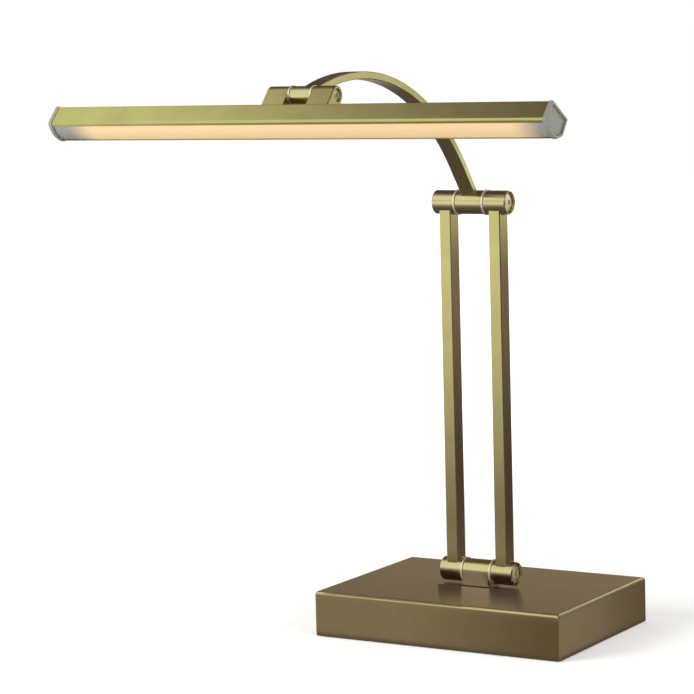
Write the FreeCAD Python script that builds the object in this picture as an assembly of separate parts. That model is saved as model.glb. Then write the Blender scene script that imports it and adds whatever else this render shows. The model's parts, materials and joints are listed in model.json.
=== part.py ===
import FreeCAD, Part
import math
import os

# Piano lamp: a long slim light head carried forward of a flat weighted base by two upright
# bars and one curved arm. Three friction hinges with axes along X let it fold and tilt.
# Millimetres. X runs along the base and the head, Y runs to the back, Z is up.
# The origin is the middle of the face that rests on the table.

os.makedirs("parts", exist_ok=True)

Vector = FreeCAD.Vector
ALONG_X = Vector(1, 0, 0)
ALONG_Y = Vector(0, 1, 0)
ALONG_Z = Vector(0, 0, 1)

# Base
base_width = 190.0
base_depth = 137.0
base_height = 32.0
cover_lift = 0.8            # the cover's lower rim stays this far above the table
cover_wall = 2.0
cover_top = 2.5
cover_edge_radius = 2.2
cover_corner_radius = 1.5
pad_thickness = 2.0
plate_thickness = 1.5
plate_gap = 0.3             # between the plate's outline and the cover's walls
post_side = 11.0
post_inset = 7.5            # from the cover's inner wall to the middle of a post

# Ballast and the compartment behind it
ballast_height = 22.0
ballast_gap = 1.0
compartment_depth = 44.5    # from the ballast to the cover's rear wall
ballast_chamfer = 1.5
ballast_screw_spread = 110.0
ballast_screw_depth = 10.0

# Lamp driver
driver_width = 62.0
driver_depth = 26.0
driver_height = 19.0
driver_x = 0.0
driver_setback = 5.0        # from the ballast to the driver's case
driver_corner_radius = 2.0

# Fasteners: shank radius, head radius, head height
plate_screw = (2.0, 3.8, 1.2)
ballast_screw = (2.0, 3.8, 1.2)
block_bolt = (2.0, 3.5, 2.6)
block_bolt_key = (2.5, 1.4)  # across flats, depth
block_bolt_margin = 1.0     # from the bolt's head to the side of the block
block_bolt_end_gap = 1.2    # from the bolt's tip to the pivot's shank
cheek_screw = (1.5, 2.7, 1.6)
large_pivot = (2.5, 6.8, 2.6)
small_pivot = (2.0, 4.0, 2.4)

screw_crown = 0.22          # rise of a domed head, as a share of its radius
screw_key = 1.4             # size across the key's flats, in shank radii
screw_key_floor = 0.4       # where the key's recess ends, as a share of the head's height

# Clearances
thread_gap = 0.05           # a screw in its thread, and a tube in its socket
running_gap = 0.05          # a pivot in the bore that turns on it
side_gap = 0.2              # between a turning face and the washer beside it
hole_gap = 0.3              # around a screw that passes through
seat_gap = 0.15             # a loose piece in its groove
fuse_overlap = 0.01         # two halves of one piece share this much
cut_spare = 1.0             # a cutting tool runs this far past the wall
tolerance = 0.01            # for finding edges by their place

# Lower and upper hinges
barrel_radius = 8.3
barrel_half_length = 28.6
centre_half_length = 10.2
washer_thickness = 1.2
washer_radius = 9.0
counterbore_radius = 7.3
counterbore_depth = 3.2
barrel_chamfer = 0.6
nut_across_flats = 8.0
nut_height = 2.7
block_lift = 1.2            # daylight between the side knuckles and the cover

# Upright bars
bar_width = 8.7
bar_depth = 12.5
bar_wall = 1.3
bar_corner_radius = 0.9
bar_spread = 38.4           # between the middles of the two bars
bar_length_axis = 258.5     # between the lower and the upper hinge axis
socket_floor = 3.7          # bar end to hinge axis
braze_radius = 0.8          # hollow bead of braze where a bar meets its knuckle

# Arm: a flat bar with a straight foot and one long bow
arm_width = 11.0
arm_thickness = 4.9
arm_foot_length = 32.0
arm_foot_slope = 51.6       # degrees of the foot above level, pointing forward
arm_bow_radius = 173.3
arm_bow_sweep = 72.1
arm_edge_chamfer = 0.5
arm_front_floor = 3.0       # arm end to head hinge axis

# Head hinge
head_barrel_radius = 5.9
head_centre_half_length = 7.2
head_washer_thickness = 1.0
head_washer_radius = 6.4
cheek_width = 15.8
cheek_front_slope = 48.6    # degrees above level of the cheek's flat front
cheek_edge_radius = 0.7
head_counterbore_radius = 4.3
head_counterbore_depth = 3.0
head_nut_across_flats = 6.0
head_nut_height = 2.2

# Head, drawn in its own section plane: u runs up the front face, v runs back from it
head_length = 358.0
head_tilt = 47.7            # degrees of the front face above level
head_front = 13.5           # height of the front face along u
head_back_corner = (17.3, 21.2)
head_low_corner = (6.1, 22.4)
head_bottom_corner = (0.1, 17.8)
head_bulge = 2.3            # how far the light window bows out
head_drop = 12.5            # hinge axis to the head's top face
head_back_set = 11.2        # hinge axis foot to the top edge, along the top face
head_wall = 1.3
head_edge_radius = 0.7
head_ridge_radius = 1.8     # the bend between the front face and the window's front lip
window_lip_front = 2.2
window_lip_back = 0.9
cap_thickness = 2.6
cap_overlap = 0.35
cap_rim = 1.3
cap_recess = 1.2
cap_edge_radius = 0.4
cap_plug_length = 4.0
cap_plug_wall = 1.2

# Light window and light strip
window_step = 0.6           # the window sits this far inside the lips
window_flange = 1.3
window_flange_thickness = 1.0
board_width = 8.0
board_thickness = 1.0
board_inset = 2.2           # from the top edge along the inner top face
board_end_gap = 12.0
led_pitch = 12.0
led_count = 27
led_length = 3.5
led_width = 2.8
led_height = 0.8
cheek_screw_place = 15.0    # from the top edge along the top face
cheek_screw_spread = 8.0
cheek_screw_depth = 6.0

# Cord inlet and rocker switch in the rear wall
inlet_x = 45.0
inlet_z = 15.0
inlet_hole_radius = 4.6
inlet_flange_radius = 6.6
inlet_inner_radius = 6.0
inlet_bore_radius = 2.6
inlet_flange = 1.6
inlet_rim = 0.7
switch_x = -45.0
switch_z = 16.5
switch_bezel = (21.0, 15.0, 1.4)
switch_body = (18.8, 12.6, 13.0)
switch_bezel_radius = 0.6
rocker_radius = 8.0
rocker_height = 9.6
rocker_gap = 0.35
rocker_below = 2.4
rocker_crown = 3.3
rocker_edge_height = 2.0
rocker_tilt = 9.0
rocker_set_back = 0.8
trunnion_radius = 1.2
trunnion_length = 0.9
trunnion_end_gap = 0.1

# Places that follow from the values above
lower_axis = base_height + block_lift + barrel_radius
upper_axis = lower_axis + bar_length_axis
inner_half_width = base_width / 2 - cover_wall
inner_half_depth = base_depth / 2 - cover_wall
plate_bottom = pad_thickness
plate_top = plate_bottom + plate_thickness
cavity_top = base_height - cover_top
rear_face = base_depth / 2
ballast_back = inner_half_depth - compartment_depth
driver_y = ballast_back + driver_setback + driver_depth / 2
foot_angle = math.radians(arm_foot_slope)
bow_start_y = -arm_foot_length * math.cos(foot_angle)
bow_start_z = upper_axis + arm_foot_length * math.sin(foot_angle)
bow_centre_y = bow_start_y - arm_bow_radius * math.sin(foot_angle)
bow_centre_z = bow_start_z - arm_bow_radius * math.cos(foot_angle)
front_angle = foot_angle - math.radians(arm_bow_sweep)
head_axis_y = bow_centre_y + arm_bow_radius * math.sin(front_angle)
head_axis_z = bow_centre_z + arm_bow_radius * math.cos(front_angle)
cheek_inner = head_centre_half_length + side_gap + head_washer_thickness
cheek_outer = cheek_inner + cheek_width
knuckle_inner = centre_half_length + side_gap + washer_thickness


def save(shape, name):
    shape.exportStep(os.path.join("parts", name + ".step"))
    print(name, len(shape.Solids), round(shape.Volume / 1000.0, 3))


def box(size_x, size_y, size_z, x, y, z):
    """A block with its middle at x and y and its underside at z."""
    return Part.makeBox(size_x, size_y, size_z, Vector(x - size_x / 2, y - size_y / 2, z))


def rod_x(radius, x0, x1, y, z):
    """A cylinder along X from x0 to x1."""
    return Part.makeCylinder(radius, x1 - x0, Vector(x0, y, z), ALONG_X)


def rod_z(radius, x, y, z0, z1):
    """A cylinder along Z from z0 to z1."""
    return Part.makeCylinder(radius, z1 - z0, Vector(x, y, z0), ALONG_Z)


def edges_along(shape, direction):
    """The straight edges of a shape that run along a direction."""
    found = []
    for edge in shape.Edges:
        if edge.Curve.TypeId != "Part::GeomLine":
            continue
        span = edge.Vertexes[-1].Point.sub(edge.Vertexes[0].Point)
        if span.normalize().cross(direction).Length < 1e-6:
            found.append(edge)
    return found


def edges_beyond(shape, x):
    """The edges of a shape that lie in its end face at x."""
    found = []
    for edge in shape.Edges:
        if edge.BoundBox.XMin > x - tolerance:
            found.append(edge)
    return found


def rounded_bar(width, depth, height, radius):
    """A square-cut bar along Z with rounded long edges, standing on the origin."""
    bar = box(width, depth, height, 0, 0, 0)
    return bar.makeFillet(radius, edges_along(bar, ALONG_Z))


def mirrored(shape):
    return shape.mirror(Vector(0, 0, 0), ALONG_X)


# Base


def post_places():
    x = inner_half_width - post_inset
    y = inner_half_depth - post_inset
    return [(x, y), (-x, y), (-x, -y), (x, -y)]


def ballast_screw_places():
    y = (ballast_back - inner_half_depth) / 2
    return [(-ballast_screw_spread / 2, y), (ballast_screw_spread / 2, y)]


def block_bolt_places():
    reach = centre_half_length - block_bolt[1] - block_bolt_margin
    return [(-reach, 0), (reach, 0)]


def base_cover():
    height = base_height - cover_lift
    cover = box(base_width, base_depth, height, 0, 0, cover_lift)
    cover = cover.makeFillet(cover_corner_radius, edges_along(cover, ALONG_Z))
    rim = []
    for edge in cover.Edges:
        if edge.BoundBox.ZMin > base_height - tolerance:
            rim.append(edge)
    cover = cover.makeFillet(cover_edge_radius, rim)
    hollow = box(2 * inner_half_width, 2 * inner_half_depth, cavity_top - cover_lift, 0, 0, cover_lift)
    cover = cover.cut(hollow)
    for x, y in post_places():
        cover = cover.fuse(box(post_side, post_side, cavity_top - plate_top, x, y, plate_top))
    cover = cover.removeSplitter()
    for x, y in post_places():
        tip = plate_top + ballast_screw_depth + thread_gap
        cover = cover.cut(rod_z(plate_screw[0] + thread_gap, x, y, plate_top, tip))
    for x, y in block_bolt_places():
        cover = cover.cut(rod_z(block_bolt[0] + hole_gap, x, y, cavity_top, base_height))
    inlet = Part.makeCylinder(
        inlet_hole_radius, cover_wall, Vector(inlet_x, inner_half_depth, inlet_z), ALONG_Y
    )
    cover = cover.cut(inlet)
    opening_width = switch_body[0] + 2 * seat_gap
    opening_height = switch_body[1] + 2 * seat_gap
    opening = box(
        opening_width,
        cover_wall,
        opening_height,
        switch_x,
        inner_half_depth + cover_wall / 2,
        switch_z - opening_height / 2,
    )
    return cover.cut(opening)


def countersunk(places, screw, z_face, depth):
    """Flat-headed screws with their heads down, flush with the face at z_face."""
    shank, head, height = screw
    group = []
    for x, y in places:
        cone = Part.makeCone(head, shank, height, Vector(x, y, z_face), ALONG_Z)
        body = cone.fuse(rod_z(shank, x, y, z_face + height, z_face + depth))
        group.append(body.removeSplitter())
    return group


def bottom_plate():
    plate = rounded_bar(
        2 * (inner_half_width - plate_gap),
        2 * (inner_half_depth - plate_gap),
        plate_thickness,
        cover_corner_radius,
    )
    plate.translate(Vector(0, 0, plate_bottom))
    for places, screw in ((post_places(), plate_screw), (ballast_screw_places(), ballast_screw)):
        shank, head, height = screw
        for x, y in places:
            sink = Part.makeCone(
                head + thread_gap, shank + thread_gap, height, Vector(x, y, plate_bottom), ALONG_Z
            )
            plate = plate.cut(sink)
            plate = plate.cut(rod_z(shank + thread_gap, x, y, plate_bottom, plate_top))
    return plate


def felt_pad():
    return rounded_bar(
        2 * (inner_half_width - plate_gap),
        2 * (inner_half_depth - plate_gap),
        pad_thickness,
        cover_corner_radius,
    )


def ballast():
    width = 2 * (inner_half_width - ballast_gap)
    front = -(inner_half_depth - ballast_gap)
    depth = ballast_back - front
    slab = box(width, depth, ballast_height, 0, front + depth / 2, plate_top)
    upper = []
    for edge in slab.Edges:
        if edge.BoundBox.ZMin > plate_top + ballast_height - tolerance:
            upper.append(edge)
    slab = slab.makeChamfer(ballast_chamfer, upper)
    notch = post_side + 2 * ballast_gap
    corner = notch / 2 + post_inset
    for side in (-1, 1):
        slab = slab.cut(
            box(
                2 * corner,
                2 * corner,
                ballast_height,
                side * (inner_half_width - post_inset + corner - notch / 2),
                -(inner_half_depth - post_inset + corner - notch / 2),
                plate_top,
            )
        )
    for x, y in ballast_screw_places():
        tip = plate_bottom + ballast_screw_depth + thread_gap
        slab = slab.cut(rod_z(ballast_screw[0] + thread_gap, x, y, plate_top, tip))
    return slab


def led_driver():
    case = box(driver_width, driver_depth, driver_height, driver_x, driver_y, plate_top)
    return case.makeFillet(driver_corner_radius, edges_along(case, ALONG_Z))


def cord_grommet():
    start = Vector(inlet_x, inner_half_depth - inlet_flange, inlet_z)
    neck_start = Vector(inlet_x, inner_half_depth, inlet_z)
    outer_start = Vector(inlet_x, rear_face, inlet_z)
    inner = Part.makeCylinder(inlet_inner_radius, inlet_flange, start, ALONG_Y)
    neck = Part.makeCylinder(inlet_hole_radius - thread_gap, cover_wall, neck_start, ALONG_Y)
    outer = Part.makeCylinder(inlet_flange_radius, inlet_flange, outer_start, ALONG_Y)
    rim = []
    for edge in outer.Edges:
        if edge.BoundBox.YMin > rear_face + inlet_flange - tolerance:
            rim.append(edge)
    outer = outer.makeChamfer(inlet_rim, rim)
    ring = inner.fuse([neck, outer]).removeSplitter()
    bore = Part.makeCylinder(inlet_bore_radius, cover_wall + 2 * inlet_flange, start, ALONG_Y)
    return ring.cut(bore)


def rocker_pivot_y():
    return rear_face + switch_bezel[2] - rocker_set_back


def switch_housing():
    bezel_w, bezel_h, bezel_t = switch_bezel
    body_w, body_h, body_d = switch_body
    bezel = box(bezel_w, bezel_t, bezel_h, switch_x, rear_face + bezel_t / 2, switch_z - bezel_h / 2)
    bezel = bezel.makeFillet(switch_bezel_radius, edges_along(bezel, ALONG_Y))
    body = box(body_w, body_d, body_h, switch_x, rear_face - body_d / 2, switch_z - body_h / 2)
    housing = bezel.fuse(body).removeSplitter()
    pivot_y = rocker_pivot_y()
    reach = rocker_radius + rocker_gap
    well_height = rocker_height + 2 * rocker_gap
    floor_y = pivot_y - rocker_below - rocker_radius * math.sin(math.radians(rocker_tilt)) - rocker_gap
    well_depth = rear_face + bezel_t - floor_y
    well = box(2 * reach, well_depth, well_height, switch_x, floor_y + well_depth / 2, switch_z - well_height / 2)
    housing = housing.cut(well)
    half = rocker_height / 2 + trunnion_length + trunnion_end_gap
    socket = rod_z(trunnion_radius + running_gap, switch_x, pivot_y, switch_z - half, switch_z + half)
    return housing.cut(socket)


def switch_rocker():
    """A see-saw key whose two faces meet in a ridge, resting on its left half."""
    pivot_y = rocker_pivot_y()
    half = rocker_height / 2
    crown = Vector(switch_x, pivot_y + rocker_crown - rocker_gap, switch_z - half)
    right_high = Vector(switch_x + rocker_radius, pivot_y + rocker_edge_height, switch_z - half)
    right_low = Vector(switch_x + rocker_radius, pivot_y - rocker_below, switch_z - half)
    left_low = Vector(switch_x - rocker_radius, pivot_y - rocker_below, switch_z - half)
    left_high = Vector(switch_x - rocker_radius, pivot_y + rocker_edge_height, switch_z - half)
    outline = Part.makePolygon([crown, right_high, right_low, left_low, left_high, crown])
    key = Part.Face(outline).extrude(Vector(0, 0, rocker_height))
    key = key.common(rod_z(rocker_radius, switch_x, pivot_y, switch_z - half, switch_z + half))
    reach = half + trunnion_length
    key = key.fuse(rod_z(trunnion_radius, switch_x, pivot_y, switch_z - reach, switch_z + reach))
    key.rotate(Vector(switch_x, pivot_y, switch_z), ALONG_Z, rocker_tilt)
    return key


def hinge_block():
    """The fixed middle of the lower hinge: a barrel on a square foot."""
    foot_height = lower_axis - base_height
    foot = box(2 * centre_half_length, 2 * barrel_radius, foot_height, 0, 0, base_height)
    block = foot.fuse(rod_x(barrel_radius, -centre_half_length, centre_half_length, 0, lower_axis))
    block = block.removeSplitter()
    bore = rod_x(large_pivot[0] + running_gap, -centre_half_length, centre_half_length, 0, lower_axis)
    block = block.cut(bore)
    for x, y in block_bolt_places():
        tip = base_height + block_bolt_reach() + thread_gap
        block = block.cut(rod_z(block_bolt[0] + thread_gap, x, y, base_height, tip))
    return block


def block_bolt_reach():
    return lower_axis - base_height - large_pivot[0] - block_bolt_end_gap


def block_bolts():
    shank, head, height = block_bolt
    group = []
    for x, y in block_bolt_places():
        top = base_height + block_bolt_reach()
        body = rod_z(head, x, y, cavity_top - height, cavity_top)
        body = body.fuse(rod_z(shank, x, y, cavity_top, top)).removeSplitter()
        key = hexagon_prism(*block_bolt_key, Vector(x, y, cavity_top - height), ALONG_Z)
        group.append(body.cut(key))
    return group


# Hinge hardware


def hexagon_prism(across_flats, height, start, direction):
    """A six-sided prism that starts at a point and runs along a direction."""
    radius = across_flats / math.sqrt(3)
    points = []
    for step in range(7):
        angle = math.radians(60 * step)
        points.append(Vector(radius * math.cos(angle), radius * math.sin(angle), 0))
    prism = Part.Face(Part.makePolygon(points)).extrude(Vector(0, 0, height))
    prism.Placement = FreeCAD.Placement(start, FreeCAD.Rotation(ALONG_Z, direction))
    return prism


def pivot_screw(screw, seat, nut_end, y, z):
    """A screw along X with a domed head that sits on the face at x = seat."""
    shank, head, height = screw
    rise = head * screw_crown
    dome_radius = (head ** 2 + rise ** 2) / (2 * rise)
    dome = Part.makeSphere(dome_radius, Vector(seat + height - dome_radius, y, z), ALONG_X)
    disc = rod_x(head, seat, seat + height, y, z).common(dome)
    body = disc.fuse(rod_x(shank, nut_end, seat, y, z)).removeSplitter()
    key = hexagon_prism(shank * screw_key, height, Vector(seat + height * screw_key_floor, y, z), ALONG_X)
    return body.cut(key)


def pivot_nut(shank, across_flats, height, seat, y, z):
    """A six-sided nut along X with its inner face at x = seat, on the left side."""
    nut = hexagon_prism(across_flats, height, Vector(seat - height, y, z), ALONG_X)
    return nut.cut(rod_x(shank + thread_gap, seat - height, seat, y, z))


def washer(radius, bore, x0, thickness, y, z):
    ring = rod_x(radius, x0, x0 + thickness, y, z)
    return ring.cut(rod_x(bore, x0, x0 + thickness, y, z))


def washer_pair(radius, bore, inner, thickness, y, z):
    right = washer(radius, bore, inner, thickness, y, z)
    return [mirrored(right), right]


def bar_section(gap):
    return bar_width + 2 * gap, bar_depth + 2 * gap


def brazed_foot(barrel):
    """The barrel at the origin with a hollow bead round the place where the bar leaves it."""
    stub = rounded_bar(bar_width, bar_depth, barrel_radius + 2 * braze_radius, bar_corner_radius)
    stub.translate(Vector(bar_spread / 2, 0, 0))
    joined = barrel.fuse(stub).removeSplitter()
    seam = []
    for edge in joined.Edges:
        middle = edge.valueAt((edge.FirstParameter + edge.LastParameter) / 2)
        on_barrel = abs(math.hypot(middle.y, middle.z) - barrel_radius) < tolerance
        beside_bar = abs(middle.x - bar_spread / 2) < bar_width / 2 + tolerance
        if on_barrel and beside_bar and middle.z > 0:
            seam.append(edge)
    return joined.makeFillet(braze_radius, seam)


def side_knuckle(side, axis_z, upward):
    """An outer knuckle of the mast: a barrel with a socket that takes the bar's end."""
    knuckle = rod_x(barrel_radius, knuckle_inner, barrel_half_length, 0, 0)
    knuckle = knuckle.makeChamfer(barrel_chamfer, edges_beyond(knuckle, barrel_half_length))
    knuckle = brazed_foot(knuckle)
    bore_radius = large_pivot[0] + thread_gap
    knuckle = knuckle.cut(rod_x(bore_radius, knuckle_inner, barrel_half_length, 0, 0))
    well = rod_x(counterbore_radius, barrel_half_length - counterbore_depth, barrel_half_length, 0, 0)
    knuckle = knuckle.cut(well)
    width, depth = bar_section(thread_gap)
    socket = rounded_bar(width, depth, 2 * barrel_radius, bar_corner_radius)
    socket.translate(Vector(bar_spread / 2, 0, socket_floor))
    knuckle = knuckle.cut(socket)
    if not upward:
        knuckle = knuckle.mirror(Vector(0, 0, 0), ALONG_Z)
    if side < 0:
        knuckle = mirrored(knuckle)
    knuckle.translate(Vector(0, 0, axis_z))
    return knuckle


def bar(side):
    """One upright: a rectangular tube with its ends inside the knuckles."""
    length = bar_length_axis - 2 * socket_floor
    tube = rounded_bar(bar_width, bar_depth, length, bar_corner_radius)
    bore = box(bar_width - 2 * bar_wall, bar_depth - 2 * bar_wall, length, 0, 0, 0)
    tube = tube.cut(bore)
    tube.translate(Vector(side * bar_spread / 2, 0, lower_axis + socket_floor))
    return tube


# Arm


def bow_point(angle, radius):
    y = bow_centre_y + radius * math.sin(angle)
    z = bow_centre_z + radius * math.cos(angle)
    return Vector(0, y, z)


def foot_point(distance, offset):
    """A point of the arm's straight foot, measured from the upper hinge axis."""
    y = -distance * math.cos(foot_angle) + offset * math.sin(foot_angle)
    z = upper_axis + distance * math.sin(foot_angle) + offset * math.cos(foot_angle)
    return Vector(0, y, z)


def arm_blank(width, thickness, foot_end, front_trim):
    """The flat bar: its side outline is a straight foot and a tangent bow, made wide in X."""
    half = thickness / 2
    trim = front_angle + front_trim / arm_bow_radius
    middle = (foot_angle + trim) / 2
    outer = arm_bow_radius + half
    inner = arm_bow_radius - half
    outer_bow = Part.Arc(bow_point(foot_angle, outer), bow_point(middle, outer), bow_point(trim, outer))
    inner_bow = Part.Arc(bow_point(trim, inner), bow_point(middle, inner), bow_point(foot_angle, inner))
    edges = [
        Part.makeLine(foot_point(foot_end, half), bow_point(foot_angle, outer)),
        outer_bow.toShape(),
        Part.makeLine(bow_point(trim, outer), bow_point(trim, inner)),
        inner_bow.toShape(),
        Part.makeLine(bow_point(foot_angle, inner), foot_point(foot_end, -half)),
        Part.makeLine(foot_point(foot_end, -half), foot_point(foot_end, half)),
    ]
    blank = Part.Face(Part.Wire(edges)).extrude(Vector(width, 0, 0))
    blank.translate(Vector(-width / 2, 0, 0))
    return blank


def arm_bar():
    blank = arm_blank(arm_width, arm_thickness, socket_floor, arm_front_floor)
    long_edges = []
    for edge in blank.Edges:
        on_side = edge.BoundBox.XLength < tolerance
        if on_side and edge.Length > arm_foot_length / 2:
            long_edges.append(edge)
    return blank.makeChamfer(arm_edge_chamfer, long_edges)


def arm_socket():
    gap = 2 * thread_gap
    floor = thread_gap
    return arm_blank(arm_width + gap, arm_thickness + gap, socket_floor - floor, arm_front_floor - floor)


def arm_lower_knuckle():
    barrel = rod_x(barrel_radius, -centre_half_length, centre_half_length, 0, upper_axis)
    bore_radius = large_pivot[0] + running_gap
    barrel = barrel.cut(rod_x(bore_radius, -centre_half_length, centre_half_length, 0, upper_axis))
    return barrel.cut(arm_socket())


def arm_upper_knuckle():
    half = head_centre_half_length
    barrel = rod_x(head_barrel_radius, -half, half, head_axis_y, head_axis_z)
    bore_radius = small_pivot[0] + running_gap
    barrel = barrel.cut(rod_x(bore_radius, -half, half, head_axis_y, head_axis_z))
    return barrel.cut(arm_socket())


# Head

tilt = math.radians(head_tilt)
up_face = (math.cos(tilt), math.sin(tilt))
back_face = (math.sin(tilt), -math.cos(tilt))
top_span = (head_back_corner[0] - head_front, head_back_corner[1])
top_length = math.hypot(*top_span)
top_run = (top_span[0] / top_length, top_span[1] / top_length)
top_normal = (top_run[1], -top_run[0])


def section_origin():
    """Y and Z of the front face's lower edge, found from the hinge axis."""
    u = head_front + top_run[0] * head_back_set + top_normal[0] * head_drop
    v = top_run[1] * head_back_set + top_normal[1] * head_drop
    y = head_axis_y - u * up_face[0] - v * back_face[0]
    z = head_axis_z - u * up_face[1] - v * back_face[1]
    return y, z


def head_point(u, v, x=0.0):
    y0, z0 = section_origin()
    y = y0 + u * up_face[0] + v * back_face[0]
    z = z0 + u * up_face[1] + v * back_face[1]
    return Vector(x, y, z)


def top_point(along, out, x=0.0):
    """A point by its distance back from the top edge and out of the top face."""
    u = head_front + top_run[0] * along + top_normal[0] * out
    v = top_run[1] * along + top_normal[1] * out
    return head_point(u, v, x)


def head_outline():
    """The section's closed outline: four flats and the bowed window side."""
    ridge = head_point(0, 0)
    bottom = head_point(*head_bottom_corner)
    middle_v = head_bottom_corner[1] / 2
    bow = Part.Arc(bottom, head_point(-head_bulge, middle_v), ridge)
    edges = [
        Part.makeLine(ridge, head_point(head_front, 0)),
        Part.makeLine(head_point(head_front, 0), head_point(*head_back_corner)),
        Part.makeLine(head_point(*head_back_corner), head_point(*head_low_corner)),
        Part.makeLine(head_point(*head_low_corner), bottom),
        bow.toShape(),
    ]
    return Part.Wire(edges)


def section_face(inset):
    """The section's face, drawn in by an inset, or let out by a negative one."""
    outline = head_outline()
    if abs(inset) > 1e-6:
        outline = outline.makeOffset2D(-inset, 2, False, False, False)
    return Part.Face(outline)


def head_prism(face, x0, x1):
    prism = face.extrude(Vector(x1 - x0, 0, 0))
    prism.translate(Vector(x0, 0, 0))
    return prism


def window_wedge(grow, x0, x1):
    """The part of space that the light window takes out of the head's wall."""
    front = window_lip_front - grow
    back = head_bottom_corner[1] - window_lip_back + grow
    depth = head_wall + window_flange_thickness + cut_spare
    points = [
        head_point(-2 * head_bulge, front),
        head_point(depth, front),
        head_point(depth, back),
        head_point(-2 * head_bulge, back),
        head_point(-2 * head_bulge, front),
    ]
    return head_prism(Part.Face(Part.makePolygon(points)), x0, x1)


def inner_length():
    return head_length / 2 - cap_thickness


def edges_at(shell, corners):
    """The long edges of the head that pass through these corners of its section."""
    found = []
    for edge in edges_along(shell, ALONG_X):
        middle = edge.CenterOfMass
        for u, v in corners:
            corner = head_point(u, v)
            if math.hypot(middle.y - corner.y, middle.z - corner.z) < 10 * tolerance:
                found.append(edge)
    return found


def head_housing():
    half = inner_length()
    shell = head_prism(section_face(0), -half, half)
    folds = [(head_front, 0), head_back_corner, head_low_corner]
    shell = shell.makeFillet(head_edge_radius, edges_at(shell, folds))
    shell = shell.makeFillet(head_ridge_radius, edges_at(shell, [(0, 0)]))
    shell = shell.cut(head_prism(section_face(head_wall), -half, half))
    shell = shell.cut(window_wedge(0, -half, half))
    for x in cheek_screw_x():
        shell = shell.cut(top_rod(cheek_screw[0] + thread_gap, x, -head_wall - cut_spare, cut_spare))
    return shell


def diffuser():
    """The bowed light window: a strip between the lips with a flange behind each lip."""
    half = inner_length() - seat_gap
    inner_face = head_wall + seat_gap
    strip = head_prism(section_face(window_step), -half, half)
    strip = strip.cut(head_prism(section_face(inner_face + fuse_overlap), -half, half))
    strip = strip.common(window_wedge(-seat_gap, -half, half))
    flange = head_prism(section_face(inner_face), -half, half)
    flange = flange.cut(head_prism(section_face(inner_face + window_flange_thickness), -half, half))
    flange = flange.common(window_wedge(window_flange, -half, half))
    return strip.fuse(flange).removeSplitter()


def top_block(along0, along1, out0, out1, x0, x1):
    """A block whose sides follow the head's top face."""
    points = [
        top_point(along0, out0),
        top_point(along1, out0),
        top_point(along1, out1),
        top_point(along0, out1),
        top_point(along0, out0),
    ]
    return head_prism(Part.Face(Part.makePolygon(points)), x0, x1)


def top_rod(radius, x, out0, out1):
    """A cylinder square to the head's top face, at the cheek screws' place."""
    start = top_point(cheek_screw_place, out0, x)
    end = top_point(cheek_screw_place, out1, x)
    return Part.makeCylinder(radius, out1 - out0, start, end.sub(start))


def led_board():
    half = inner_length() - board_end_gap
    outer = -head_wall
    return top_block(board_inset, board_inset + board_width, outer - board_thickness, outer, -half, half)


def leds():
    middle = board_inset + board_width / 2
    face = -head_wall - board_thickness
    group = []
    for index in range(led_count):
        x = (index - (led_count - 1) / 2) * led_pitch
        group.append(
            top_block(
                middle - led_width / 2,
                middle + led_width / 2,
                face - led_height,
                face,
                x - led_length / 2,
                x + led_length / 2,
            )
        )
    return group


def end_cap():
    """The right end cap: a plate with a raised rim and a short plug inside the head."""
    start = inner_length()
    end = head_length / 2
    plate = head_prism(section_face(-cap_overlap), start, end)
    plate = plate.makeFillet(head_edge_radius, edges_along(plate, ALONG_X))
    plate = plate.makeFillet(cap_edge_radius, edges_beyond(plate, end))
    panel = head_prism(section_face(cap_rim), end - cap_recess, end)
    plate = plate.cut(panel)
    inside = head_wall + seat_gap
    plug = head_prism(section_face(inside), start - cap_plug_length, start)
    plug = plug.cut(head_prism(section_face(inside + cap_plug_wall), start - cap_plug_length, start))
    plug = plug.cut(window_wedge(window_flange + 2 * seat_gap, start - cap_plug_length, start))
    return plate.fuse(plug).removeSplitter()


def cheek_screw_x():
    middle = (cheek_inner + cheek_outer) / 2
    offset = cheek_screw_spread / 2
    return [-middle - offset, -middle + offset, middle - offset, middle + offset]


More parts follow.
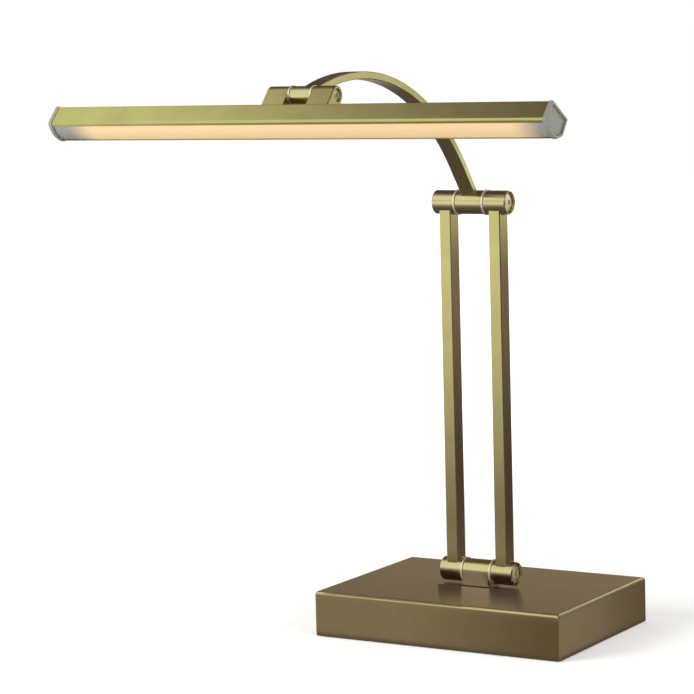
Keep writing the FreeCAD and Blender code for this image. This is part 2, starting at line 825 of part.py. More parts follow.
def cheek():
    """The right cheek: a barrel end whose flat front and back run down to the top face."""
    slope = math.radians(cheek_front_slope)
    down = (-math.cos(slope), -math.sin(slope))
    front_y = head_axis_y - head_barrel_radius * math.sin(slope)
    front_z = head_axis_z + head_barrel_radius * math.cos(slope)
    edge = head_point(head_front, 0)
    fall = top_direction()
    normal = (-fall[1], fall[0])
    rise = (front_y - edge.y) * normal[0] + (front_z - edge.z) * normal[1]
    run = -rise / (down[0] * normal[0] + down[1] * normal[1])
    back_top = (head_axis_y + fall[0] * head_barrel_radius, head_axis_z + fall[1] * head_barrel_radius)
    back_foot = (back_top[0] - normal[0] * head_drop, back_top[1] - normal[1] * head_drop)
    points = [
        Vector(0, head_axis_y, head_axis_z),
        Vector(0, front_y, front_z),
        Vector(0, front_y + down[0] * run, front_z + down[1] * run),
        Vector(0, back_foot[0], back_foot[1]),
        Vector(0, back_top[0], back_top[1]),
        Vector(0, head_axis_y, head_axis_z),
    ]
    web = head_prism(Part.Face(Part.makePolygon(points)), cheek_inner, cheek_outer)
    shape = web.fuse(rod_x(head_barrel_radius, cheek_inner, cheek_outer, head_axis_y, head_axis_z))
    shape = shape.removeSplitter()
    rim = []
    for edge in edges_beyond(shape, cheek_outer):
        from_axis = edge.CenterOfMass.sub(Vector(cheek_outer, head_axis_y, head_axis_z))
        if from_axis.y * normal[0] + from_axis.z * normal[1] > tolerance - head_drop:
            rim.append(edge)
    shape = shape.makeFillet(cheek_edge_radius, rim)
    bore = rod_x(small_pivot[0] + thread_gap, cheek_inner, cheek_outer, head_axis_y, head_axis_z)
    well_start = cheek_outer - head_counterbore_depth
    well = rod_x(head_counterbore_radius, well_start, cheek_outer, head_axis_y, head_axis_z)
    shape = shape.cut(bore).cut(well)
    for x in cheek_screw_x():
        depth = cheek_screw_depth + thread_gap
        shape = shape.cut(top_rod(cheek_screw[0] + thread_gap, x, -cut_spare, depth))
    return shape


def top_direction():
    """Y and Z of the top face's run towards the back."""
    step = top_point(1, 0).sub(top_point(0, 0))
    return step.y, step.z


def cheek_screws():
    shank, head, height = cheek_screw
    group = []
    for x in cheek_screw_x():
        body = top_rod(head, x, -head_wall - height, -head_wall)
        body = body.fuse(top_rod(shank, x, -head_wall, cheek_screw_depth)).removeSplitter()
        group.append(body)
    return group


# Build


def main():
    save(base_cover(), "base_cover")
    save(bottom_plate(), "bottom_plate")
    save(felt_pad(), "felt_pad")
    save(ballast(), "ballast")
    plate_group = countersunk(post_places(), plate_screw, plate_bottom, ballast_screw_depth)
    save(Part.Compound(plate_group), "plate_screws")
    ballast_group = countersunk(ballast_screw_places(), ballast_screw, plate_bottom, ballast_screw_depth)
    save(Part.Compound(ballast_group), "ballast_screws")
    save(led_driver(), "led_driver")
    save(cord_grommet(), "cord_grommet")
    save(switch_housing(), "switch_housing")
    save(switch_rocker(), "switch_rocker")
    save(hinge_block(), "hinge_block")
    save(Part.Compound(block_bolts()), "block_bolts")

    seat = barrel_half_length - counterbore_depth
    bolt_end = -seat - nut_height
    for level, axis_z, upward in (("lower", lower_axis, True), ("upper", upper_axis, False)):
        save(side_knuckle(-1, axis_z, upward), level + "_left_knuckle")
        save(side_knuckle(1, axis_z, upward), level + "_right_knuckle")
        save(pivot_screw(large_pivot, seat, bolt_end, 0, axis_z), level + "_hinge_bolt")
        nut = pivot_nut(large_pivot[0], nut_across_flats, nut_height, -seat, 0, axis_z)
        save(nut, level + "_hinge_nut")
        rings = washer_pair(
            washer_radius,
            large_pivot[0] + thread_gap,
            knuckle_inner - washer_thickness,
            washer_thickness,
            0,
            axis_z,
        )
        save(Part.Compound(rings), level + "_hinge_washers")
    save(bar(-1), "left_bar")
    save(bar(1), "right_bar")

    save(arm_bar(), "arm_bar")
    save(arm_lower_knuckle(), "arm_lower_knuckle")
    save(arm_upper_knuckle(), "arm_upper_knuckle")

    save(head_housing(), "head_housing")
    save(diffuser(), "diffuser")
    save(led_board(), "led_board")
    save(Part.Compound(leds()), "leds")
    cap = end_cap()
    save(cap, "right_end_cap")
    save(mirrored(cap), "left_end_cap")
    right_cheek = cheek()
    save(right_cheek, "right_cheek")
    save(mirrored(right_cheek), "left_cheek")
    save(Part.Compound(cheek_screws()), "cheek_screws")
    head_seat = cheek_outer - head_counterbore_depth
    head_bolt_end = -head_seat - head_nut_height
    bolt = pivot_screw(small_pivot, head_seat, head_bolt_end, head_axis_y, head_axis_z)
    save(bolt, "head_hinge_bolt")
    nut = pivot_nut(
        small_pivot[0], head_nut_across_flats, head_nut_height, -head_seat, head_axis_y, head_axis_z
    )
    save(nut, "head_hinge_nut")
    rings = washer_pair(
        head_washer_radius,
        small_pivot[0] + thread_gap,
        cheek_inner - head_washer_thickness,
        head_washer_thickness,
        head_axis_y,
        head_axis_z,
    )
    save(Part.Compound(rings), "head_hinge_washers")
    print("lower axis", round(lower_axis, 3), "upper axis", round(upper_axis, 3))
    print("head axis", round(head_axis_y, 3), round(head_axis_z, 3))
    print("rocker pivot", switch_x, round(rocker_pivot_y(), 3), switch_z)


main()
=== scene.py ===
import bmesh
import bpy
import json
import math
from mathutils import Matrix, Vector

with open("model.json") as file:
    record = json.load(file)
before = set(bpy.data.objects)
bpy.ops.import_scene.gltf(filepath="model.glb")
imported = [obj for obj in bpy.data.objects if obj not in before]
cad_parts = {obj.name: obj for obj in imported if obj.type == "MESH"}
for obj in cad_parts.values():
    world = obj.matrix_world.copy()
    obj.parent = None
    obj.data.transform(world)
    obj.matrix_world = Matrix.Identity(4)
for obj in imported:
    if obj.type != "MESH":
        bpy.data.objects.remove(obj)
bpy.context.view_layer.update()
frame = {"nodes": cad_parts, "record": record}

# The cheeks are brushed with the light head, not turned
BRUSHED_INSTEAD = {"left_cheek": "brass_channel", "right_cheek": "brass_channel"}

# The camera stands to the right of the lamp, a little above it. Degrees, metres and pixels.
IMAGE_SIDE = 694
CAMERA_AZIMUTH = 31.116
CAMERA_ELEVATION = 6.577
CAMERA_ROLL = -1.515
CAMERA_FOCAL_PIXELS = 2634.6
CAMERA_PLACE = (0.8619, -1.6012, 0.4112)
CAMERA_SEES_TO = 50.0
SENSOR_WIDTH = 36.0

# Two large soft lamps, in metres and watts, and the world's own plain light
KEY_PLACE = (-1.3, -1.6, 0.9)
KEY_POWER = 44.0
FILL_PLACE = (1.9, -0.3, 0.8)
FILL_POWER = 20.0
LAMP_SIZE = (1.2, 1.2)
LAMP_TARGET = (0.0, 0.0, 0.15)
WORLD_FILL = 0.45

# The floor's own glow rises away from the lamp, so it ends in the white background
FLOOR_TONE = "#F2F1EE"
FLOOR_ROUGHNESS = 0.9
FLOOR_SPECULAR = 0.2
FLOOR_RADIUS = 6.0
FLOOR_LIFT_NEAR = 0.30
FLOOR_LIFT_FAR = 1.0
FLOOR_LIFT_START = 0.35
FLOOR_LIFT_END = 1.1

# What the satin metal mirrors, in metres. The table brightens with distance from the lamp.
CIRCLE_STEPS = 96
TABLE_RADIUS = 4.5
TABLE_HEIGHT = 0.0006
TABLE_MIDDLE = (-0.05, 0.20)
TABLE_DIM_TO = 0.35
TABLE_HALF_LIT = 1.0
TABLE_WHITE_FROM = 1.95

# Low strips of light close to the front and the right side of the base
SKIRT_TOP = 0.029
FRONT_SKIRT = (-0.13, -0.0765)
FRONT_SKIRT_END = (0.10, -0.0765)
FRONT_SKIRT_LIT = -0.04
RIGHT_SKIRT = (0.0995, -0.08)
RIGHT_SKIRT_END = (0.0995, 0.10)
RIGHT_SKIRT_LIT = -0.05

# A ceiling that is dark over the lamp and white to the front left
CEILING_HEIGHT = 0.9
CEILING_HALF = 2.5
CEILING_BACK_LIT = -0.35
CEILING_DIM_FROM = 0.05
CEILING_DIM_TO = 0.20
CEILING_LIFTS_FROM = 0.42
CEILING_HALF_LIT = 0.62
CEILING_WHITE_FROM = 0.76

# A back wall: from left to right it darkens upwards, then is white, then dark, then low and dark
WALL_BACK = 1.0
WALL_LEFT = -2.6
WALL_MIDDLE = -0.15
WALL_WHITE_TO = 0.34
WALL_DARK_TO = 0.58
WALL_RIGHT = 1.20
WALL_LOW_TOP = 0.23
WALL_HALF_LIT = 0.27
WALL_DARK_FROM = 0.42
WALL_TOP = 0.9

# Screens: at the front left, at the right of the bars above the base, and beside the camera
FRONT_SCREEN = (-0.10, -0.79)
FRONT_SCREEN_END = (-0.72, -0.06)
FRONT_DIM_TO = 0.0
FRONT_WHITE_FROM = 0.20
FRONT_TOP = 0.26
RIGHT_SCREEN = (0.06, 0.30)
RIGHT_SCREEN_END = (0.06, 0.02)
RIGHT_SCREEN_FOOT = 0.055
RIGHT_DIM_TO = 0.10
RIGHT_HALF_LIT = 0.24
RIGHT_WHITE_FROM = 0.33
DARK_SCREEN = (0.75, 0.45)
DARK_SCREEN_END = (0.75, -1.6)
DARK_SCREEN_TOP = 0.7

# Light of the cards, as linear red, green and blue
WHITE = (1.0, 1.0, 1.0)
DIM_TABLE = (0.110, 0.085, 0.110)
HALF_TABLE = (0.430, 0.360, 0.430)
LIT_SKIRT = (0.300, 0.250, 0.285)
DIM_SKIRT = (0.157, 0.122, 0.118)
BACK_CEILING = (0.230, 0.170, 0.260)
DIM_CEILING = (0.070, 0.050, 0.050)
LIFTED_CEILING = (0.190, 0.145, 0.210)
HALF_CEILING = (0.570, 0.470, 0.600)
LOW_WALL = (0.540, 0.455, 0.390)
HALF_WALL = (0.365, 0.290, 0.240)
HIGH_WALL = (0.100, 0.075, 0.075)
DIM_FRONT = (0.410, 0.340, 0.410)
DIM_RIGHT = (0.095, 0.062, 0.085)
HALF_RIGHT = (0.240, 0.175, 0.215)
DIM_CAMERA_SIDE = (0.035, 0.022, 0.020)

# Painted shade round the lower hinge: dark strips under the knuckles and the foot that run towards
# the front left over the base, a low bar of half light at their far end, upright strips that paint the
# hinge's own reflection in the base, and a dark line of painted shade along the foot.
SHADE_EDGES = (-0.034, -0.0112, 0.0112, 0.034)
IMAGE_EDGES = (-0.029, -0.0105, 0.0115, 0.034)
SHADE_HEIGHT = 0.0323
SHADE_BACK = 0.026
SHADE_NEAR = -0.006
SHADE_FAR = -0.070
SHADE_SLANT = 0.56
SHADE_FACE = -0.0095
SHADE_TOP = 0.060
IMAGE_DARK_TO = 0.041
IMAGE_CLEAR_FROM = 0.049
HINGE_LIGHT_BAR = (-0.09, 0.02)
HINGE_LIGHT_BAR_TOP = 0.052
FOOT_SHADE_LINE = (-0.0105, -0.0080)
FOOT_SHADE_LINE_HEIGHT = 0.0322
DIM_SHADE = (0.030, 0.014, 0.016)
DIM_FOOT = (0.285, 0.228, 0.250)
DIM_IMAGE = (0.080, 0.060, 0.060)
FOOT_IMAGE = (0.320, 0.255, 0.220)
HINGE_BAR_LIGHT = (0.310, 0.255, 0.310)

# Antique brass plating; the second of each pair is where it has aged
BRASS_LIGHT = "#D1CC87"
BRASS_MID = "#C0B672"
TURNED_LIGHT = "#D8D198"
TURNED_MID = "#C7BC80"
BASE_BRASS = "#CEC388"
BASE_AGED = "#C0B376"
CHANNEL_BRASS = "#C6C57B"
CHANNEL_AGED = "#B3A765"
WASHER_BRASS = "#F3E9C6"
SCREW_BRASS = "#E8DEB8"
CAP_GREY = "#999A8F"
CAP_SHADE = "#909186"

# Surface patterns, in mm. Satin brush lines are about 0.05 mm apart, too fine to show here, so they
# are drawn five or six times as coarse.
MM = 0.001
LINE_SPACING = 0.3
BAR_LINE_SPACING = 0.25
ROLLED_SPACING = 0.4
CAST_SPACING = 0.5
CLOUD_SIZE = 18.0
RELIEF_DEPTH = 0.05
NOISE_ROUGHNESS = 0.55
NOISE_LOW = 0.3
NOISE_HIGH = 0.7
AGED_SHARE = 0.45
PLASTIC_IOR = 1.46

# The window, with its lit part measured from its middle in metres
WINDOW_GLOW = "#FBD9A5"
WINDOW_LIT = "#B49B74"
WINDOW_UNLIT = "#8E8F8A"
WINDOW_POWER = 0.45
WINDOW_MIDDLE = 0.004
WINDOW_LIT_TO = 0.148
WINDOW_UNLIT_FROM = 0.172
WINDOW_ROUGHNESS = 0.42
ACRYLIC_IOR = 1.49


def linear(hex_colour):
    """An sRGB hex colour as linear red, green, blue and alpha."""
    values = []
    for start in (1, 3, 5):
        v = int(hex_colour[start:start + 2], 16) / 255
        values.append(v / 12.92 if v <= 0.04045 else ((v + 0.055) / 1.055) ** 2.4)
    return (*values, 1.0)


def add(tree, kind, inputs=None, **settings):
    """Adds a node with its settings; an input is a value or another node's output."""
    node = tree.nodes.new(kind)
    for name, value in settings.items():
        setattr(node, name, value)
    for key, value in (inputs or {}).items():
        if isinstance(value, bpy.types.NodeSocket):
            tree.links.new(value, node.inputs[key])
        else:
            node.inputs[key].default_value = value
    return node


def new_material(name):
    material = bpy.data.materials.new(name)
    material.use_nodes = True
    tree = material.node_tree
    tree.nodes.clear()
    shader = add(tree, "ShaderNodeBsdfPrincipled")
    output = add(tree, "ShaderNodeOutputMaterial", {"Surface": shader.outputs["BSDF"]})
    return material, tree, shader, output


def pattern(tree, spacing, detail):
    """Noise on the piece's own place; spacing is in mm along X, Y and Z, and 0 draws it out endlessly."""
    stretch = tuple(1 / (s * MM) if s else 0.0 for s in spacing)
    place = add(tree, "ShaderNodeTexCoord")
    turned = add(tree, "ShaderNodeMapping", {"Vector": place.outputs["Object"], "Scale": stretch})
    return add(tree, "ShaderNodeTexNoise", {
        "Vector": turned.outputs["Vector"], "Scale": 1.0, "Detail": detail, "Roughness": NOISE_ROUGHNESS,
    }).outputs["Fac"]


def mapped(tree, noise, low, high):
    return add(tree, "ShaderNodeMapRange", {
        "Value": noise, "From Min": NOISE_LOW, "From Max": NOISE_HIGH, "To Min": low, "To Max": high,
    }).outputs["Result"]


def raise_surface(tree, shader, noise, strength):
    relief = add(tree, "ShaderNodeBump", {
        "Height": noise, "Strength": strength, "Distance": RELIEF_DEPTH * MM,
    })
    tree.links.new(relief.outputs["Normal"], shader.inputs["Normal"])


def metal(name, light, aged, line_spacing, gloss, contrast=1.0, bump=0.12, metallic=1.0):
    """A plated metal: fine lines by line_spacing in mm along X, Y and Z, over soft cloudy ageing."""
    material, tree, shader, _ = new_material(name)
    lines = pattern(tree, line_spacing, detail=2.0)
    clouds = pattern(tree, (CLOUD_SIZE,) * 3, detail=5.0)
    share = mapped(tree, clouds, 0.0, AGED_SHARE)
    colour = add(tree, "ShaderNodeMix", {0: share, 6: linear(light), 7: linear(aged)}, data_type="RGBA")
    streak = mapped(tree, lines, 1 - 0.05 * contrast, 1 + 0.03 * contrast)
    streaked = add(tree, "ShaderNodeVectorMath", {0: colour.outputs[2], 1: streak}, operation="MULTIPLY")
    tree.links.new(streaked.outputs["Vector"], shader.inputs["Base Color"])
    rough = mapped(tree, lines, gloss - 0.04 * contrast, gloss + 0.05 * contrast)
    tree.links.new(rough, shader.inputs["Roughness"])
    raise_surface(tree, shader, lines, bump)
    shader.inputs["Metallic"].default_value = metallic
    return material


def plastic(name, colour, shade, grain, rough, bump=0.2):
    """A moulded or coated surface with a fine grain, its spacing in mm."""
    material, tree, shader, _ = new_material(name)
    noise = pattern(tree, (grain,) * 3, detail=4.0)
    share = mapped(tree, noise, 0.0, 1.0)
    mix = add(tree, "ShaderNodeMix", {0: share, 6: linear(colour), 7: linear(shade)}, data_type="RGBA")
    tree.links.new(mix.outputs[2], shader.inputs["Base Color"])
    tree.links.new(mapped(tree, noise, rough - 0.05, rough + 0.08), shader.inputs["Roughness"])
    raise_surface(tree, shader, noise, bump)
    shader.inputs["IOR"].default_value = PLASTIC_IOR
    return material


def brushed_cover():
    """Brass-plated box, brushed along its length and lacquered: a quiet satin, browner than the bars."""
    return metal(
        "antique_brass_brushed_cover", BASE_BRASS, BASE_AGED, (0, LINE_SPACING, LINE_SPACING), 0.29,
        contrast=0.35, bump=0.01)


def brushed_bar():
    """Brass-plated bars, brushed lengthwise: olive gold with fine upright lines."""
    return metal(
        "antique_brass_brushed_bar", BRASS_LIGHT, BRASS_MID, (BAR_LINE_SPACING, BAR_LINE_SPACING, 0), 0.26,
        bump=0.05)


def turned_brass():
    """Brass-plated barrels, turned on a lathe: rings round the axis and clear bands of light."""
    return metal("antique_brass_turned", TURNED_LIGHT, TURNED_MID, (LINE_SPACING, 0, 0), 0.22, contrast=0.6)


def washer_brass():
    """Thin bright brass, stamped and left unaged: pale rings between the knuckles."""
    return metal("pale_brass_washer", WASHER_BRASS, WASHER_BRASS, (ROLLED_SPACING, 0, 0), 0.4, metallic=0.8)


def screw_brass():
    """Brass-plated screws and nuts, tumbled smooth: paler than the barrels, with no direction."""
    return metal(
        "brass_plated_screw", SCREW_BRASS, BRASS_LIGHT, (ROLLED_SPACING,) * 3, 0.26, metallic=0.75)


def brass_channel():
    """Folded channel of the light head, brushed lengthwise and anodised: greener brass, long lines."""
    return metal(
        "antique_brass_channel", CHANNEL_BRASS, CHANNEL_AGED, (0, LINE_SPACING, LINE_SPACING), 0.28)


def painted_cap():
    """Cast end caps with satin silver paint: an even soft grey with hardly any mirror."""
    return metal(
        "satin_silver_painted_cap", CAP_GREY, CAP_SHADE, (CAST_SPACING,) * 3, 0.42, bump=0.05, metallic=0.3)


def frosted_window():
    """Extruded frosted acrylic: lit warm from inside along its middle, plain grey at its ends."""
    material, tree, shader, _ = new_material("frosted_window")
    place = add(tree, "ShaderNodeTexCoord")
    parts = add(tree, "ShaderNodeSeparateXYZ", {"Vector": place.outputs["Object"]})
    offset = add(tree, "ShaderNodeMath", {0: parts.outputs["X"], 1: WINDOW_MIDDLE}, operation="SUBTRACT")
    outwards = add(tree, "ShaderNodeMath", {0: offset.outputs[0]}, operation="ABSOLUTE")
    lit = add(tree, "ShaderNodeMapRange", {
        "Value": outwards.outputs[0], "From Min": WINDOW_LIT_TO, "From Max": WINDOW_UNLIT_FROM,
        "To Min": 1.0, "To Max": 0.0,
    }, interpolation_type="SMOOTHSTEP").outputs["Result"]
    colour = add(tree, "ShaderNodeMix", {
        0: lit, 6: linear(WINDOW_UNLIT), 7: linear(WINDOW_LIT),
    }, data_type="RGBA")
    tree.links.new(colour.outputs[2], shader.inputs["Base Color"])
    shader.inputs["Emission Color"].default_value = linear(WINDOW_GLOW)
    glow = add(tree, "ShaderNodeMath", {0: lit, 1: WINDOW_POWER}, operation="MULTIPLY")
    tree.links.new(glow.outputs[0], shader.inputs["Emission Strength"])
    shader.inputs["Roughness"].default_value = WINDOW_ROUGHNESS
    shader.inputs["IOR"].default_value = ACRYLIC_IOR
    return material


def circuit_board():
    """Solder mask printed on an aluminium board: flat white with a faint grain."""
    return plastic("white_circuit_board", "#E4E6E2", "#CFD3CD", 0.8, 0.45)


def phosphor():
    """Phosphor in clear resin over each light emitter: dull yellow."""
    return plastic("yellow_phosphor", "#F2D24A", "#E6BE30", 0.5, 0.5)


def zinc_plate():
    """Pressed steel with zinc plating: blue-grey with a soft sheen."""
    return metal("zinc_plated_steel", "#C4C6C8", "#A6AAB0", (ROLLED_SPACING,) * 3, 0.35)


def cast_iron():
    """Sand-cast iron under thin black paint: dark and visibly rough."""
    return plastic("black_coated_cast_iron", "#2B2A29", "#1E1D1C", 1.2, 0.6, bump=0.6)


def felt():
    """Pressed wool felt: black with no shine, and a nap."""
    return plastic("black_felt", "#1C1C1D", "#101011", 0.6, 0.95, bump=1.0)


def driver_case():
    """Moulded polycarbonate: white and half matt."""
    return plastic("white_driver_case", "#E3E3DF", "#D6D6D1", 0.6, 0.5)


def grommet_rubber():
    """Moulded rubber: black and half matt."""
    return plastic("black_rubber", "#1B1B1C", "#121213", 0.7, 0.6)


def switch_nylon():
    """Moulded nylon with a fine spark-eroded grain: black, a little shinier than the rubber."""
    return plastic("black_switch_plastic", "#17171A", "#101012", 0.4, 0.4)


SLOT_MATERIALS = {
    "brushed_brass_cover": brushed_cover,
    "brushed_brass_bar": brushed_bar,
    "turned_brass": turned_brass,
    "pale_washer": washer_brass,
    "pivot_screw_brass": screw_brass,
    "brass_channel": brass_channel,
    "cap_grey": painted_cap,
    "frosted_window": frosted_window,
    "board_white": circuit_board,
    "led_phosphor": phosphor,
    "plated_steel": zinc_plate,
    "cast_iron": cast_iron,
    "felt_black": felt,
    "driver_white": driver_case,
    "rubber_black": grommet_rubber,
    "switch_black": switch_nylon,
}


def dress_nodes():
    """Gives each CAD node the material of its slot."""
    materials = {slot: make() for slot, make in SLOT_MATERIALS.items()}
    for part in frame["record"]["subparts"]:
        mesh = frame["nodes"][part["node"]].data
        slot = BRUSHED_INSTEAD.get(part["node"], part["material_slot"])
        mesh.materials.clear()
        mesh.materials.append(materials[slot])


def make_camera():
    azimuth = math.radians(CAMERA_AZIMUTH)
    elevation = math.radians(CAMERA_ELEVATION)
    roll = math.radians(CAMERA_ROLL)
    back = Vector((
        math.sin(azimuth) * math.cos(elevation),
        -math.cos(azimuth) * math.cos(elevation),
        math.sin(elevation),
    ))
    right = Vector((math.cos(azimuth), math.sin(azimuth), 0.0))
    up = back.cross(right)
    turned_right = right * math.cos(roll) + up * math.sin(roll)
    turned_up = up * math.cos(roll) - right * math.sin(roll)
    turn = Matrix((turned_right, turned_up, back)).transposed().to_4x4()
    data = bpy.data.cameras.new("camera")
    data.sensor_width = SENSOR_WIDTH
    data.lens = SENSOR_WIDTH * CAMERA_FOCAL_PIXELS / IMAGE_SIDE
    data.clip_end = CAMERA_SEES_TO
    camera = bpy.data.objects.new("camera", data)
    camera.matrix_world = Matrix.Translation(CAMERA_PLACE) @ turn
    bpy.context.scene.collection.objects.link(camera)
    bpy.context.scene.camera = camera


def area_light(name, place, power):
    """A large soft lamp that lights matt surfaces and is not itself mirrored."""
    data = bpy.data.lights.new(name, "AREA")
    data.shape = "RECTANGLE"
    data.size, data.size_y = LAMP_SIZE
    data.energy = power
    light = bpy.data.objects.new(name, data)
    aim = Vector(LAMP_TARGET) - Vector(place)
    light.matrix_world = Matrix.Translation(place) @ aim.to_track_quat("-Z", "Y").to_matrix().to_4x4()
    light.visible_camera = False
    light.visible_glossy = False
    bpy.context.scene.collection.objects.link(light)


def seen_directly(tree):
    """1 for a ray from the camera, off a gloss or through glass, which all see the white background."""
    path = add(tree, "ShaderNodeLightPath")
    through = add(tree, "ShaderNodeMath", {
        0: path.outputs["Is Camera Ray"], 1: path.outputs["Is Transmission Ray"],
    }, operation="MAXIMUM")
    return add(tree, "ShaderNodeMath", {
        0: through.outputs[0], 1: path.outputs["Is Glossy Ray"],
    }, operation="MAXIMUM").outputs[0]


def make_world():
    """A plain soft world that shows as white wherever it is seen."""
    world = bpy.data.worlds.new("studio")
    bpy.context.scene.world = world
    world.use_nodes = True
    tree = world.node_tree
    tree.nodes.clear()
    fill = add(tree, "ShaderNodeBackground", {"Color": (1, 1, 1, 1), "Strength": WORLD_FILL})
    white = add(tree, "ShaderNodeBackground", {"Color": (1, 1, 1, 1), "Strength": 1.0})
    mix = add(tree, "ShaderNodeMixShader", {0: seen_directly(tree), 1: fill.outputs[0], 2: white.outputs[0]})
    add(tree, "ShaderNodeOutputWorld", {"Surface": mix.outputs[0]})


def stage_object(name, form, material):
    mesh = bpy.data.meshes.new(name)
    form.to_mesh(mesh)
    form.free()
    mesh.materials.append(material)
    piece = bpy.data.objects.new(name, mesh)
    bpy.context.scene.collection.objects.link(piece)
    return piece


def distance_from(middle):
    """Measures how far a point of a flat stage piece lies from a middle point, in metres."""
    def measure(tree):
        place = add(tree, "ShaderNodeTexCoord")
        offset = add(tree, "ShaderNodeVectorMath", {
            0: place.outputs["Object"], 1: (*middle, 0.0),
        }, operation="SUBTRACT")
        return add(tree, "ShaderNodeVectorMath", {
            0: offset.outputs["Vector"],
        }, operation="LENGTH").outputs["Value"]
    return measure


def along(direction):
    """Measures a place along a direction."""
    def measure(tree):
        place = add(tree, "ShaderNodeTexCoord")
        return add(tree, "ShaderNodeVectorMath", {
            0: place.outputs["Object"], 1: direction,
        }, operation="DOT_PRODUCT").outputs["Value"]
    return measure


height = along((0, 0, 1))


def make_floor():
    """A pale floor that keeps the lamp's soft shadow and fades to white away from it."""
    material, tree, shader, _ = new_material("pale_floor")
    shader.inputs["Base Color"].default_value = linear(FLOOR_TONE)
    shader.inputs["Roughness"].default_value = FLOOR_ROUGHNESS
    shader.inputs["Specular IOR Level"].default_value = FLOOR_SPECULAR
    fade = add(tree, "ShaderNodeMapRange", {
        "Value": distance_from((0.0, 0.0))(tree), "From Min": FLOOR_LIFT_START, "From Max": FLOOR_LIFT_END,
        "To Min": FLOOR_LIFT_NEAR, "To Max": FLOOR_LIFT_FAR,
    }, interpolation_type="SMOOTHSTEP")
    lift = add(tree, "ShaderNodeMath", {
        0: seen_directly(tree), 1: fade.outputs["Result"],
    }, operation="MULTIPLY")
    shader.inputs["Emission Color"].default_value = (1, 1, 1, 1)
    tree.links.new(lift.outputs[0], shader.inputs["Emission Strength"])
    form = bmesh.new()
    bmesh.ops.create_circle(form, cap_ends=True, segments=CIRCLE_STEPS, radius=FLOOR_RADIUS)
    stage_object("floor", form, material)


def card_material(name, steps, measure=height, one_sided=False):
    """Light whose colour changes softly from step to step; a step is a measure of the place and a colour."""
    material, tree, shader, output = new_material(name)
    tree.nodes.remove(shader)
    value = measure(tree)
    colour = (*steps[0][1], 1.0)
    for (start, _), (end, reached) in zip(steps, steps[1:]):
        share = add(tree, "ShaderNodeMapRange", {
            "Value": value, "From Min": start, "From Max": end,
        }, interpolation_type="SMOOTHSTEP")
        colour = add(tree, "ShaderNodeMix", {
            0: share.outputs["Result"], 6: colour, 7: (*reached, 1.0),
        }, data_type="RGBA").outputs[2]
    light = add(tree, "ShaderNodeEmission", {"Color": colour, "Strength": 1.0})
    if one_sided:
        side = add(tree, "ShaderNodeNewGeometry")
        clear = add(tree, "ShaderNodeBsdfTransparent")
        light = add(tree, "ShaderNodeMixShader", {
            0: side.outputs["Backfacing"], 1: light.outputs[0], 2: clear.outputs[0],
        })
    tree.links.new(light.outputs[0], output.inputs["Surface"])
    return material


def reflection_card(name, form, material):
    """A stage piece that only shiny surfaces see."""
    card = stage_object(name, form, material)
    card.visible_camera = False
    card.visible_diffuse = False
    card.visible_transmission = False
    card.visible_volume_scatter = False
    card.visible_shadow = False


def flat_card(name, corners, material):
    form = bmesh.new()
    form.faces.new([form.verts.new(corner) for corner in corners])
    reflection_card(name, form, material)


def upright_card(name, start, end, top, steps, measure=height, one_sided=False, bottom=0.0):
    """A card between two places on the table; one-sided, it faces left on the way from end to start."""
    material = card_material(name, steps, measure, one_sided)
    flat_card(name, [(*start, bottom), (*end, bottom), (*end, top), (*start, top)], material)


def make_table():
    form = bmesh.new()
    bmesh.ops.create_circle(form, cap_ends=True, segments=CIRCLE_STEPS, radius=TABLE_RADIUS)
    bmesh.ops.translate(form, verts=form.verts, vec=(0, 0, TABLE_HEIGHT))
    steps = [(TABLE_DIM_TO, DIM_TABLE), (TABLE_HALF_LIT, HALF_TABLE), (TABLE_WHITE_FROM, WHITE)]
    reflection_card("table_card", form, card_material("table_card", steps, distance_from(TABLE_MIDDLE)))


def make_ceiling():
    form = bmesh.new()
    bmesh.ops.create_grid(form, x_segments=1, y_segments=1, size=CEILING_HALF)
    bmesh.ops.translate(form, verts=form.verts, vec=(0, 0, CEILING_HEIGHT))
    steps = [
        (CEILING_BACK_LIT, BACK_CEILING), (CEILING_DIM_FROM, DIM_CEILING), (CEILING_DIM_TO, DIM_CEILING),
        (CEILING_LIFTS_FROM, LIFTED_CEILING), (CEILING_HALF_LIT, HALF_CEILING), (CEILING_WHITE_FROM, WHITE),
    ]
    reflection_card("ceiling_card", form, card_material("ceiling_card", steps, along((-1, -1, 0))))


def make_back_wall():
    darkening = [(0, LOW_WALL), (WALL_HALF_LIT, HALF_WALL), (WALL_DARK_FROM, HIGH_WALL)]
    stretches = (
        ("wall_card", WALL_LEFT, WALL_MIDDLE, WALL_TOP, darkening),
        ("white_card", WALL_MIDDLE, WALL_WHITE_TO, WALL_TOP, [(0, WHITE)]),
        ("far_card", WALL_WHITE_TO, WALL_DARK_TO, WALL_TOP, [(0, HIGH_WALL)]),
        ("low_card", WALL_DARK_TO, WALL_RIGHT, WALL_LOW_TOP, [(0, HIGH_WALL)]),
    )
    for name, left, right, top, steps in stretches:
        upright_card(name, (left, WALL_BACK), (right, WALL_BACK), top, steps)


def make_screens():
    upright_card("front_card", FRONT_SCREEN, FRONT_SCREEN_END, FRONT_TOP, [
        (FRONT_DIM_TO, DIM_FRONT), (FRONT_WHITE_FROM, WHITE),
    ])
    upright_card("right_card", RIGHT_SCREEN, RIGHT_SCREEN_END, RIGHT_WHITE_FROM, [
        (RIGHT_DIM_TO, DIM_RIGHT), (RIGHT_HALF_LIT, HALF_RIGHT), (RIGHT_WHITE_FROM, WHITE),
    ], one_sided=True, bottom=RIGHT_SCREEN_FOOT)
    upright_card("dark_card", DARK_SCREEN, DARK_SCREEN_END, DARK_SCREEN_TOP, [
        (DARK_SCREEN_TOP / 2, DIM_CAMERA_SIDE), (DARK_SCREEN_TOP, WHITE),
    ])


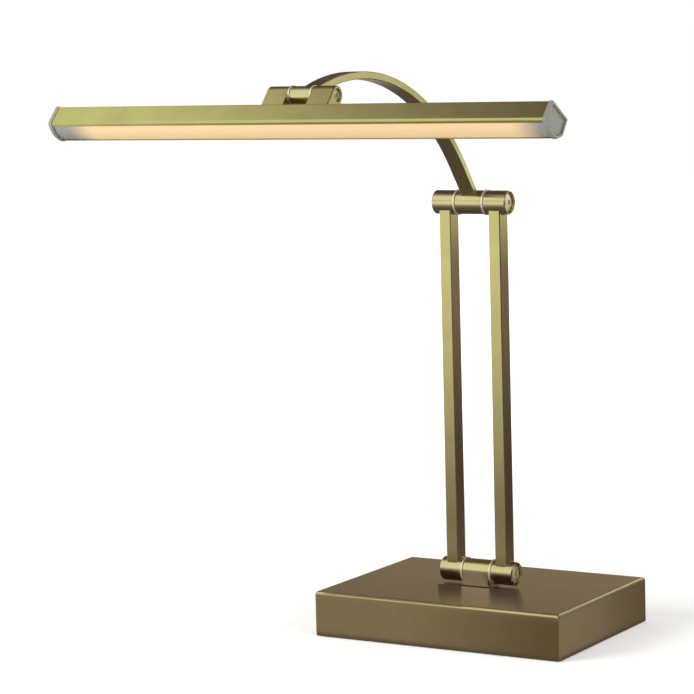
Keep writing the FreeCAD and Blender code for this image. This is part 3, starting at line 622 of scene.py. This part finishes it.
def make_skirts():
    upright_card("front_skirt", FRONT_SKIRT, FRONT_SKIRT_END, SKIRT_TOP, [
        (FRONT_SKIRT_LIT, LIT_SKIRT), (FRONT_SKIRT_END[0], DIM_SKIRT),
    ], along((1, 0, 0)))
    upright_card("right_skirt", RIGHT_SKIRT, RIGHT_SKIRT_END, SKIRT_TOP, [
        (RIGHT_SKIRT_LIT, LIT_SKIRT), (RIGHT_SKIRT_END[1], DIM_SKIRT),
    ], along((0, 1, 0)))


def make_shade_strips():
    """Three strips of painted shade under the lower hinge, each with its upright painted reflection."""
    slant = SHADE_SLANT * (SHADE_FAR - SHADE_NEAR)
    colours = (
        ("left", DIM_SHADE, DIM_IMAGE),
        ("foot", DIM_FOOT, FOOT_IMAGE),
        ("right", DIM_SHADE, DIM_IMAGE),
    )
    for index, (place, under, image) in enumerate(colours):
        left, right = SHADE_EDGES[index:index + 2]
        outline = [
            (left, SHADE_BACK), (left, SHADE_NEAR), (left + slant, SHADE_FAR),
            (right + slant, SHADE_FAR), (right, SHADE_NEAR), (right, SHADE_BACK),
        ]
        # A dark strip of painted shade lying just over the base, seen only in reflections.
        shade = card_material(place + "_shade", [(0, under)], one_sided=True)
        flat_card(place + "_shade", [(x, y, SHADE_HEIGHT) for x, y in outline], shade)
        # An upright strip of painted reflection: the hinge's own image in the base.
        left, right = IMAGE_EDGES[index:index + 2]
        upright_card(place + "_image", (left, SHADE_FACE), (right, SHADE_FACE), SHADE_TOP, [
            (IMAGE_DARK_TO, image), (IMAGE_CLEAR_FROM, FOOT_IMAGE),
        ], one_sided=True, bottom=SHADE_HEIGHT)


def make_hinge_shade():
    """Painted shade between the lower hinge and the base, and a painted reflection of the hinge in the base.
    """
    make_shade_strips()
    # A dark line of painted shade along the foot of the block.
    near, far = FOOT_SHADE_LINE
    left, right = SHADE_EDGES[1:3]
    corners = [(left, near), (right, near), (right, far), (left, far)]
    line = card_material("foot_shade_line", [(0, DIM_SHADE)])
    flat_card("foot_shade_line", [(x, y, FOOT_SHADE_LINE_HEIGHT) for x, y in corners], line)
    # A low bar of half light at the far end of the shade strips, facing the hinge.
    left, right = HINGE_LIGHT_BAR
    upright_card("hinge_light_bar", (right, SHADE_FAR), (left, SHADE_FAR), HINGE_LIGHT_BAR_TOP, [
        (0, HINGE_BAR_LIGHT),
    ], one_sided=True, bottom=SHADE_HEIGHT)


def make_studio():
    make_camera()
    make_world()
    make_floor()
    make_table()
    make_ceiling()
    make_back_wall()
    make_screens()
    make_skirts()
    make_hinge_shade()
    area_light("key_light", KEY_PLACE, KEY_POWER)
    area_light("fill_light", FILL_PLACE, FILL_POWER)


bpy.context.scene.view_settings.view_transform = "Standard"
make_studio()
dress_nodes()
